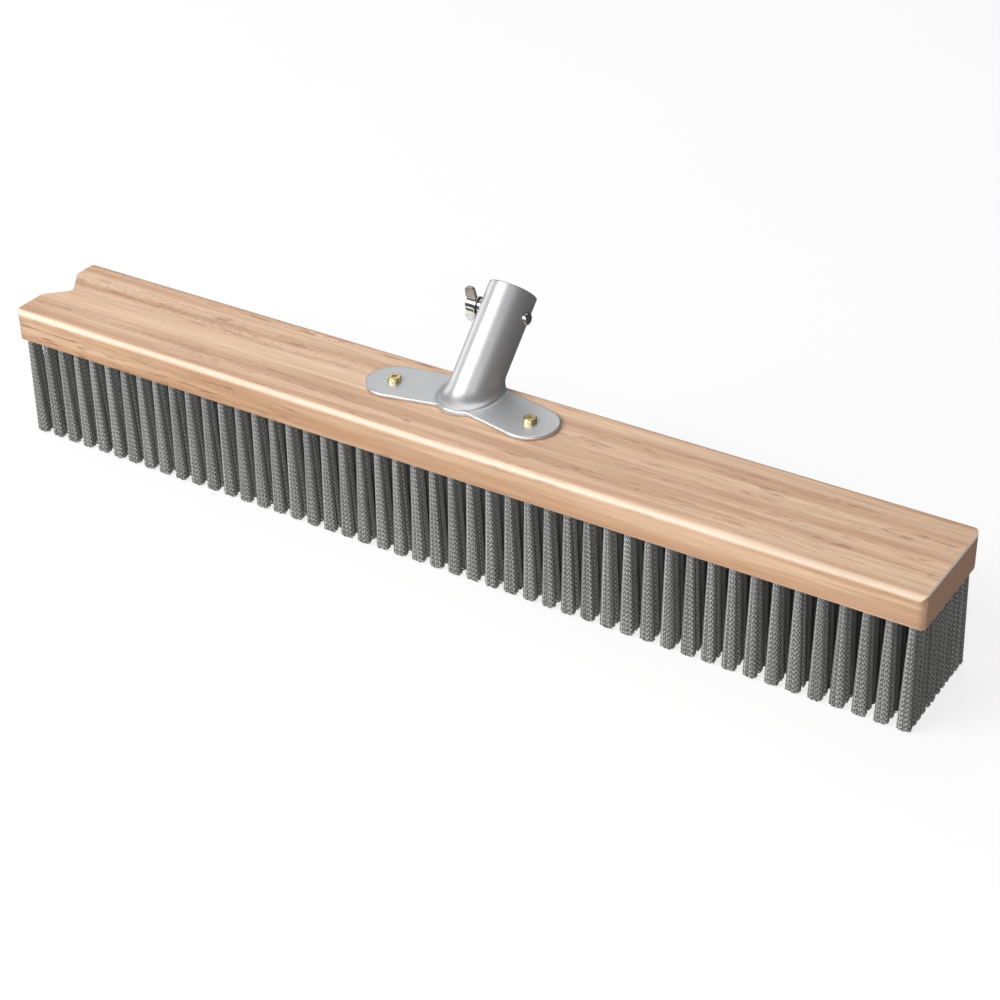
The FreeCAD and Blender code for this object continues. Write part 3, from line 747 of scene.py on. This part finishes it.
def strand_places(settings):
    """The angle of each filament of a half, and how far out it stands: most round the edge."""
    inner = np.array([0.0, math.pi / 2, math.pi, -math.pi / 2])
    angle = np.concatenate([even_angles(settings.strands), inner])
    reach = np.concatenate([np.ones(settings.strands), np.full(len(inner), INNER_STRAND_REACH)])
    return angle, reach


def flank_share(angle):
    """1 for filaments on a tuft's flat flanks, which hang straighter and lie in shade."""
    return np.clip((np.abs(squared_oval(angle)[0]) - FLANK_FROM) / FLANK_FADE, 0.0, 1.0)


def filament_lines(settings, rng, rings, top, side):
    """Centre lines of the filaments of one half of a tuft, as an array of strand, ring, xyz.

    The filaments stand round a flat-sided oval that widens towards the tips, and a few more
    fill its middle. Each is bent to and fro by the crimp, and neighbours bend opposite
    ways, so that they read as a braid.
    """
    angle, reach = strand_places(settings)
    count = len(angle)
    ring = np.arange(rings)[None, :]
    slip = rng.normal(0.0, CRIMP_SLIP, count)[:, None] + rng.uniform(0.0, 1.0)
    tip = TIP_TRIM + rng.uniform(0.0, TIP_UNEVENNESS, count) + EDGE_TRIM * (reach == 1.0)
    lowest = tip[:, None] + (rings - 1 - ring) * TIP_RING_GAP
    z = np.maximum(top - (ring + slip) * settings.crimp_length / 2, lowest)
    z[:, 0] = top
    down = np.clip(1.0 - (z - TIP_TRIM) / (UNDERSIDE - TIP_TRIM), 0.0, 1.0)
    swing = np.where((ring + np.arange(count)[:, None]) % 2, -1.0, 1.0)
    wave = swing * settings.crimp_depth * between(CRIMP_GROWTH, down)
    wave *= 1.0 - FLANK_STRAIGHTNESS * flank_share(angle)[:, None]
    x, y = (each[:, None] * reach[:, None] for each in squared_oval(angle))
    out_x, out_y = np.cos(angle)[:, None], np.sin(angle)[:, None]
    across = x * between(HALF_WIDTH, down)
    across = across + wave * (CRIMP_OUTWARDS * out_x - CRIMP_ALONG * out_y)
    depth = side * between(HALF_SHIFT, down) + y * between(HALF_DEPTH, down)
    depth = depth + wave * (CRIMP_OUTWARDS * out_y + CRIMP_ALONG * out_x)
    return np.stack([across, depth, z], -1)


def filament_tubes(settings, lines, rng):
    """Three-sided tubes round centre lines that run nearly straight down."""
    strands, rings, _ = lines.shape
    start = rng.uniform(0.0, 2 * math.pi, strands)[:, None]
    around = start + np.arange(TUBE_SIDES)[None, :] * 2 * math.pi / TUBE_SIDES
    down = np.clip(1.0 - lines[..., 2] / UNDERSIDE, 0.0, 1.0)[:, :, None]
    radius = settings.thickness / 2 * between((1.0, TIP_SPREAD), down)
    offset = np.zeros((strands, rings, TUBE_SIDES, 3))
    offset[..., 0] = radius * np.cos(around)[:, None, :]
    offset[..., 1] = radius * np.sin(around)[:, None, :]
    points = lines[:, :, None, :] + offset
    index, quads = tube_faces(strands, rings, TUBE_SIDES)
    caps = index[:, -1, ::-1]
    return points.reshape(-1, 3), quads, caps.reshape(-1, 3)


def core_mesh(swell):
    """The heart of a tuft: one tapered solid for each half, from the root to near the tips."""
    angle = np.arange(CORE_SIDES) / CORE_SIDES * 2 * math.pi
    x, y = squared_oval(angle)
    levels = np.array([UNDERSIDE + ROOT_SINK, UNDERSIDE * 0.5, CORE_END])
    down = (1.0 - levels / UNDERSIDE)[:, None]
    z = np.repeat(levels[:, None], CORE_SIDES, 1)
    halves = []
    for side in (-1.0, 1.0):
        across = x * between(HALF_WIDTH, down) * swell
        depth = side * between(HALF_SHIFT, down) + y * between(HALF_DEPTH, down) * swell
        halves.append(np.stack([across, depth, z], -1))
    index, quads = tube_faces(len(halves), len(levels), CORE_SIDES)
    caps = []
    for ring in index[:, -1, ::-1]:
        caps += [(ring[0], ring[k], ring[k + 1]) for k in range(1, CORE_SIDES - 1)]
    return np.array(halves).reshape(-1, 3), quads, np.array(caps)


def tuft_mesh(settings, rng, outer):
    """One tuft at the origin: meshes of points, quads and triangles, with a tone for each face,
    painted shade included.

    Tufts round the outside have full filaments. Inside the head only the tips can be seen,
    so there the heart is fatter and carries short filaments. The hearts get tone 0, the
    darkest colour: painted shade for the deep inside of a tuft.
    """
    top = UNDERSIDE + ROOT_SINK if outer else SHORT_STUB
    rings = int(round(2 * top / settings.crimp_length)) + 2
    core = core_mesh(CORE_SWELL if outer else FULL_CORE_SWELL)
    flank = flank_share(strand_places(settings)[0])[:, None]
    # painted shade: every face of the hearts gets tone 0
    parts = [(core, np.zeros(len(core[1])), np.zeros(len(core[2])))]
    for side in (-1.0, 1.0):
        lines = filament_lines(settings, rng, rings, top, side)
        tone = rng.normal(STRAND_TONE, STRAND_TONE_SPREAD, (len(lines), 1))
        # painted shade: filaments on the flat flanks are coloured darker
        tone = np.clip(tone, DARKEST_STRAND, 1.0) * (1.0 - FLANK_SHADE * flank)
        # painted shade: every second stroke of the crimp is coloured darker, less so on the flanks
        odd = np.arange(rings - 1)[None, :] % 2
        stroke = 1.0 - settings.crimp_shade * odd * (1.0 - FLANK_CRIMP_FADE * flank)
        strokes = np.repeat((tone * stroke).ravel(), TUBE_SIDES)
        parts.append((filament_tubes(settings, lines, rng), strokes, tone.ravel()))
    return parts


def shown_columns(row):
    """The columns that have a tuft in a row, and the row's y, both read from its CAD node."""
    node = frame["nodes"]["bristle_row_%d" % row]
    points = np.zeros(len(node.data.vertices) * 3)
    node.data.vertices.foreach_get("co", points)
    points = points.reshape(-1, 3)
    column = np.round(points[:, 0] / TUFT_PITCH - 0.5).astype(int)
    low, high = corners("bristle_row_%d" % row)
    return sorted(set(column)), float(low[1] + high[1]) / 2


def build_row_piece(settings, row, columns, row_y, name, edge_columns):
    """One object with the tufts of some of a row's columns."""
    rng = np.random.default_rng(settings.seed + 100 * row + columns[0])
    points, quads, triangles, quad_tones, triangle_tones = [], [], [], [], []
    start = 0
    for column in columns:
        outer = row in OUTER_ROWS or column in edge_columns
        place = np.array([(column + 0.5) * TUFT_PITCH, row_y, 0.0])
        lean = rng.normal(0.0, TUFT_LEAN, 2) + (0.0, INWARD_LEAN.get(row, 0.0))
        for (part_points, part_quads, part_triangles), *tones in tuft_mesh(settings, rng, outer):
            moved = part_points + place
            down = 1.0 - np.clip(part_points[:, 2:3] / UNDERSIDE, 0.0, 1.0)
            moved[:, :2] += down * lean
            points.append(moved)
            quads.append(part_quads + start)
            triangles.append(part_triangles + start)
            quad_tones.append(tones[0])
            triangle_tones.append(tones[1])
            start += len(part_points)
    merged = (np.concatenate(each) for each in (points, quads, triangles))
    obj = mesh_object(name, *merged)
    # each face's tone, with the painted shade of crimp strokes, flanks and hearts
    attribute = obj.data.attributes.new("strand_tone_and_shade", "FLOAT", "FACE")
    tones = np.concatenate(quad_tones + triangle_tones)
    attribute.data.foreach_set("value", tones.astype(np.float32))
    return obj


# ---------------------------------------------------------------- bracket as a smooth solid
def soft_union(first, second, width):
    """The union of two distances, with a fillet of about the width where they meet."""
    blend = np.clip(0.5 + 0.5 * (second - first) / width, 0.0, 1.0)
    return second + (first - second) * blend - width * blend * (1.0 - blend)


def soft_cut(solid, tool, width):
    """A solid less a tool, with the edge rounded over about the width."""
    return -soft_union(-solid, tool, width)


def rounded_slab(outline, height, low, high, round_radius):
    """A slab between two heights with rounded edges, from the distance to its outline."""
    level = np.abs(height - (low + high) / 2) - ((high - low) / 2 - round_radius)
    side = outline + round_radius
    outside = np.hypot(np.maximum(side, 0.0), np.maximum(level, 0.0))
    return outside + np.minimum(np.maximum(side, level), 0.0) - round_radius


def to_segment(x, y, start, end):
    """The distance from each point to a straight segment."""
    line = np.array(end) - np.array(start)
    share = ((x - start[0]) * line[0] + (y - start[1]) * line[1]) / (line @ line)
    share = np.clip(share, 0.0, 1.0)
    return np.hypot(x - start[0] - share * line[0], y - start[1] - share * line[1])


# The oval foot stands a little proud of the ears. It is trimmed behind FOOT_BACK_Y, up to
# FOOT_BACK_HEIGHT over the block.
EAR_THICKNESS = 2.3 * MM
EAR_SWEEP = math.radians(12.0)
TUBE_WALL = 1.8 * MM
BORE_RADIUS = float(SOCKET["dims"]["r_mm"]) * MM
TUBE_RADIUS = BORE_RADIUS + TUBE_WALL
FOOT_MARGIN = 2.3 * MM
FOOT_RISE = 0.6 * MM
FOOT_BLEND = 2.0 * MM
RIM_ROUND = 0.45 * MM
SEAT_GAP = 0.02 * MM
INSERT_HOLE_RADIUS = 4.05 * MM
INSERT_HOLE_ROUND = 0.2 * MM
FOOT_BACK_Y = float(BLOCK_HIGH[1]) - 4.9 * MM
FOOT_BACK_HEIGHT = 3.5 * MM


def tube_rim():
    """The middle of the tube's rim, a radius inside the highest and the furthest back of it."""
    top = corners("socket_bracket")[1]
    lift = TUBE_RADIUS * np.array([0.0, SOCKET_AXIS[2], SOCKET_AXIS[1]])
    return np.array([0.0, top[1], top[2]]) - lift


def bracket_distance(settings, x, y, z):
    """Distance to the bracket's skin: swept ears, an oval foot and the tilted tube."""
    bracket_high = corners("socket_bracket")[1]
    ear_centre = (RIGHT_SCREW[0], RIGHT_SCREW[1])
    ear_radius = bracket_high[0] - ear_centre[0]
    ear_top = BLOCK_TOP + EAR_THICKNESS
    ear_low = BLOCK_TOP - 2 * settings.edge_round
    join_y = ear_centre[1] + ear_centre[0] * math.tan(EAR_SWEEP)
    outline = to_segment(np.abs(x), y, ear_centre, (0.0, join_y)) - ear_radius
    ears = rounded_slab(outline, z, ear_low, ear_top, settings.edge_round)

    oval_x = TUBE_RADIUS + FOOT_MARGIN
    oval_y = TUBE_RADIUS / SOCKET_AXIS[2] + FOOT_MARGIN
    stretch = np.hypot(x / oval_x, (y - TUBE_FOOT[1]) / oval_y)
    slope = np.hypot(x / oval_x**2, (y - TUBE_FOOT[1]) / oval_y**2) + 1e-9
    oval = stretch * (stretch - 1.0) / slope
    foot = rounded_slab(oval, z, ear_low, ear_top + FOOT_RISE, settings.edge_round)

    offset_y, offset_z = y - TUBE_FOOT[1], z - TUBE_FOOT[2]
    along = offset_y * SOCKET_AXIS[1] + offset_z * SOCKET_AXIS[2]
    across = np.hypot(x, offset_y * SOCKET_AXIS[2] - offset_z * SOCKET_AXIS[1])
    rim = float((tube_rim() - TUBE_FOOT) @ SOCKET_AXIS)
    side, cap = across - TUBE_RADIUS + RIM_ROUND, along - rim + RIM_ROUND
    tube = np.hypot(np.maximum(side, 0.0), np.maximum(cap, 0.0))
    tube = tube + np.minimum(np.maximum(side, cap), 0.0) - RIM_ROUND

    solid = soft_union(ears, foot, FOOT_BLEND)
    solid = soft_union(solid, tube, settings.fillet)
    solid = soft_cut(solid, across - BORE_RADIUS, RIM_ROUND)
    insert_hole = np.hypot(y - INSERT[1], z - INSERT[2]) - INSERT_HOLE_RADIUS
    solid = soft_cut(solid, np.maximum(insert_hole, x), INSERT_HOLE_ROUND)
    overhang = np.minimum(y - FOOT_BACK_Y, BLOCK_TOP + FOOT_BACK_HEIGHT - z)
    solid = np.maximum(solid, overhang)
    return np.maximum(solid, BLOCK_TOP + SEAT_GAP - z)


# The band, the nudge that finds slopes and the longest move are in steps of the grid.
SKIN_BAND = 3.0
SKIN_PASSES = 4
SKIN_NUDGE = 0.05
SKIN_LONGEST_MOVE = 0.4
SKIN_LEAST_SLOPE = 0.25


def skin(name, distance, low, high, step):
    """A quad mesh over the zero level of a distance function, drawn exactly on to it."""
    counts = np.ceil((np.array(high) - np.array(low)) / step).astype(int) + 1
    axes = [low[k] + step * np.arange(counts[k]) for k in range(3)]
    x, y, z = np.meshgrid(*axes, indexing="ij", sparse=True)
    values = (distance(x, y, z) / step).astype(np.float32)
    grid = openvdb.FloatGrid(background=SKIN_BAND)
    grid.copyFromArray(np.clip(values, -SKIN_BAND, SKIN_BAND), tolerance=0.0)
    points, quads = grid.convertToQuads(isovalue=0.0)
    points = np.array(points, float) * step + np.array(low)
    nudge, longest = step * SKIN_NUDGE, step * SKIN_LONGEST_MOVE
    for _ in range(SKIN_PASSES):
        here = distance(*points.T)
        rises = [
            distance(*(points + shift).T) - distance(*(points - shift).T)
            for shift in nudge * np.eye(3)
        ]
        slope = np.stack(rises, -1) / (2 * nudge)
        length = np.maximum((slope**2).sum(-1, keepdims=True), SKIN_LEAST_SLOPE)
        move = -here[:, None] * slope / length
        points += np.clip(move, -longest, longest)
    return mesh_object(name, points, np.array(quads)[:, ::-1])


# ---------------------------------------------------------------- operators
class BROOM_OT_block(bpy.types.Operator):
    """Finishes the block as lacquered beech"""

    bl_idname = "broom.block"
    bl_label = "Finish block"

    def execute(self, context):
        dress("block", beech_material(context.scene.broom_block))
        return {"FINISHED"}


class BROOM_OT_bristles(bpy.types.Operator):
    """Builds the six rows of crimped tufts in place of the plain bundles"""

    bl_idname = "broom.bristles"
    bl_label = "Build tufts"

    def execute(self, context):
        settings = context.scene.broom_bristles
        grain = shared_group("Fine grain", fine_grain_group)
        material = filament_material(settings, grain)
        wire = wire_material(shared_group("Brushed lines", brushed_group))
        for row in ROWS:
            columns, row_y = shown_columns(row)
            ends = (columns[0], columns[-1])
            for part, some in zip(ROW_PARTS, np.array_split(columns, len(ROW_PARTS))):
                name = "tufts_row_%d_%s" % (row, part)
                piece = build_row_piece(settings, row, some, row_y, name, ends)
                piece.data.materials.append(material)
                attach(piece, "root")
                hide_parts("bristle_row_%d" % row)
            dress("tuft_anchors_row_%d" % row, wire)
        return {"FINISHED"}


class BROOM_OT_bracket(bpy.types.Operator):
    """Builds the socket bracket with its blended foot in place of the plain one"""

    bl_idname = "broom.bracket"
    bl_label = "Build bracket"

    def execute(self, context):
        settings = context.scene.broom_bracket
        low, high = corners("socket_bracket")
        low[2] = BLOCK_TOP
        margin = SKIN_BAND * settings.resolution

        def distance(x, y, z):
            return bracket_distance(settings, x, y, z)

        name = "socket_bracket_casting"
        piece = skin(name, distance, low - margin, high + margin, settings.resolution)
        grain = shared_group("Fine grain", fine_grain_group)
        wear = shared_group("Edge wear", edge_wear_group)
        piece.data.materials.append(satin_material(settings, grain, wear))
        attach(piece, "root")
        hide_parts("socket_bracket")
        return {"FINISHED"}


class BROOM_OT_fasteners(bpy.types.Operator):
    """Finishes the screws, the insert, the rivet, the washer and the wing screw"""

    bl_idname = "broom.fasteners"
    bl_label = "Finish fasteners"

    def execute(self, context):
        settings = context.scene.broom_fasteners
        grain = shared_group("Fine grain", fine_grain_group)
        wear = shared_group("Edge wear", edge_wear_group)
        brass = plated_material("yellow_passivated_steel", tuple(settings.brass), 0.24, grain, wear)
        steel = plated_material("bright_plated_steel", tuple(settings.bright), 0.20, grain, wear)
        zinc = plated_material("bright_cast_zinc", tuple(settings.bright), 0.22, grain, wear)
        for side in ("left", "right"):
            dress("bracket_screw_" + side, brass)
        for node in ("threaded_insert", "socket_rivet", "screw_washer", "wing_screw_stud"):
            dress(node, steel)
        dress("wing_handle", zinc)
        return {"FINISHED"}


class BROOM_OT_stage(bpy.types.Operator):
    """Lays the pale floor, hangs the soft lights and places the camera"""

    bl_idname = "broom.stage"
    bl_label = "Set the stage"

    def execute(self, context):
        build_floor()
        build_lights()
        build_world()
        build_camera(context.scene.broom_stage)
        return {"FINISHED"}


# ---------------------------------------------------------------- stage
FLOOR_HALF = 6.0
FLOOR_Z = -0.1 * MM
FLOOR_TONES = ((0.23, 0.23, 0.23), (0.25, 0.25, 0.25))
FLOOR_GLOW = 0.78
WHITE = (1.0, 1.0, 1.0, 1.0)
WORLD_LIGHT, WORLD_SEEN = 0.12, 1.0
LIGHT_DISTANCE = 2.3
SENSOR_WIDTH = 36.0

# Each light's direction from the head, its size in metres and its power in watts.
LIGHTS = {
    "key_softbox": ((-0.46, -0.62, 0.62), (1.7, 1.0), 44.0),
    "top_softbox": ((-0.20, 0.35, 1.0), (1.8, 1.4), 11.0),
    "left_panel": ((-1.0, 0.18, 0.10), (1.2, 1.2), 7.0),
    "back_panel": ((-0.49, 0.71, 0.50), (1.7, 1.2), 4.7),
    "front_fill": ((0.42, -1.0, 0.50), (1.6, 1.4), 23.0),
    "under_fill": ((0.10, -0.30, -1.0), (2.0, 2.0), 26.0),
}


def build_floor():
    """A pale floor that only the camera sees, and only from above."""
    signs = ((-1, -1), (1, -1), (1, 1), (-1, 1))
    points = [(x * FLOOR_HALF, y * FLOOR_HALF, FLOOR_Z) for x, y in signs]
    floor = mesh_object("studio_floor", points, [(0, 1, 2, 3)])
    material, tree, shader = new_material("pale_floor")
    effect = noise(tree, object_place(tree), 6.0, 3.0)
    colour = mix_colour(tree, effect, *FLOOR_TONES)
    feed(tree, shader.inputs["Base Color"], colour)
    shader.inputs["Roughness"].default_value = 0.9
    shader.inputs["Specular IOR Level"].default_value = 0.1
    shader.inputs["Emission Color"].default_value = WHITE
    shader.inputs["Emission Strength"].default_value = FLOOR_GLOW
    seen = add_node(tree, "ShaderNodeLightPath").outputs["Is Camera Ray"]
    below = add_node(tree, "ShaderNodeNewGeometry").outputs["Backfacing"]
    clear = add_node(tree, "ShaderNodeBsdfTransparent")
    choice = add_node(tree, "ShaderNodeMixShader")
    feed(tree, choice.inputs[0], math_node(tree, "SUBTRACT", seen, below, clamp=True))
    feed(tree, choice.inputs[1], clear.outputs[0])
    feed(tree, choice.inputs[2], shader.outputs[0])
    feed(tree, tree.nodes["Material Output"].inputs["Surface"], choice.outputs[0])
    floor.data.materials.append(material)


def build_lights():
    """Large soft lights that all look at the middle of the head."""
    target = Vector((CAD_BOX[0] + CAD_BOX[1]) / 2)
    for name, (direction, size, power) in LIGHTS.items():
        lamp = bpy.data.lights.new(name, "AREA")
        lamp.shape = "RECTANGLE"
        lamp.size, lamp.size_y = size
        lamp.energy = power
        obj = bpy.data.objects.new(name, lamp)
        away = Vector(direction).normalized()
        obj.location = target + away * LIGHT_DISTANCE
        obj.rotation_mode = "QUATERNION"
        obj.rotation_quaternion = away.to_track_quat("Z", "Y")
        bpy.context.scene.collection.objects.link(obj)


def build_world():
    """Pale all round for the camera, and dimmer as a light."""
    world = bpy.data.worlds.new("studio_world")
    bpy.context.scene.world = world
    world.use_nodes = True
    tree = world.node_tree
    background = tree.nodes["Background"]
    seen = add_node(tree, "ShaderNodeLightPath").outputs["Is Camera Ray"]
    background.inputs["Color"].default_value = WHITE
    strength = map_range(tree, seen, 0.0, 1.0, WORLD_LIGHT, WORLD_SEEN)
    feed(tree, background.inputs["Strength"], strength)


def build_camera(settings):
    """A camera that stands off the middle of the block's top."""
    cos_a, sin_a = math.cos(settings.azimuth), math.sin(settings.azimuth)
    cos_e, sin_e = math.cos(settings.elevation), math.sin(settings.elevation)
    back = Vector((sin_a * cos_e, -cos_a * cos_e, sin_e))
    level = Vector((cos_a, sin_a, 0.0))
    rotation = Matrix((level, back.cross(level), back)).transposed().to_4x4()
    rotation = Matrix.Rotation(settings.roll, 4, back) @ rotation
    camera = bpy.data.cameras.new("camera")
    camera.lens = settings.lens
    camera.sensor_width = SENSOR_WIDTH
    camera.clip_start, camera.clip_end = 0.01, 50.0
    obj = bpy.data.objects.new("camera", camera)
    middle_x, middle_y, _ = middle("block")
    place = Vector((middle_x, middle_y, BLOCK_TOP)) + Vector(settings.camera_place)
    obj.matrix_world = Matrix.Translation(place) @ rotation
    bpy.context.scene.collection.objects.link(obj)
    scene = bpy.context.scene
    scene.camera = obj
    scene.view_settings.view_transform = "Standard"
    scene.view_settings.look = "None"


# ---------------------------------------------------------------- add-on
class BROOM_PT_panel(bpy.types.Panel):
    bl_idname = "BROOM_PT_panel"
    bl_label = "Push broom head"
    bl_space_type = "VIEW_3D"
    bl_region_type = "UI"
    bl_category = "Broom"

    def draw(self, context):
        for group, operator in STEPS:
            box = self.layout.box()
            settings = getattr(context.scene, group)
            for name in settings.__annotations__:
                box.prop(settings, name)
            box.operator(operator)


SETTINGS = {
    "broom_block": BroomBlockSettings,
    "broom_bristles": BroomBristleSettings,
    "broom_bracket": BroomBracketSettings,
    "broom_fasteners": BroomFastenerSettings,
    "broom_stage": BroomStageSettings,
}
STEPS = [
    ("broom_block", "broom.block"),
    ("broom_bristles", "broom.bristles"),
    ("broom_bracket", "broom.bracket"),
    ("broom_fasteners", "broom.fasteners"),
    ("broom_stage", "broom.stage"),
]
CLASSES = [
    *SETTINGS.values(),
    BROOM_OT_block,
    BROOM_OT_bristles,
    BROOM_OT_bracket,
    BROOM_OT_fasteners,
    BROOM_OT_stage,
    BROOM_PT_panel,
]


def register():
    for each in CLASSES:
        bpy.utils.register_class(each)
    for name, kind in SETTINGS.items():
        setattr(bpy.types.Scene, name, bpy.props.PointerProperty(type=kind))


def unregister():
    for name in SETTINGS:
        delattr(bpy.types.Scene, name)
    for each in reversed(CLASSES):
        bpy.utils.unregister_class(each)


def main():
    register()
    bpy.ops.broom.block()
    bpy.ops.broom.bristles()
    bpy.ops.broom.bracket()
    bpy.ops.broom.fasteners()
    bpy.ops.broom.stage()


if __name__ == "__main__":
    main()
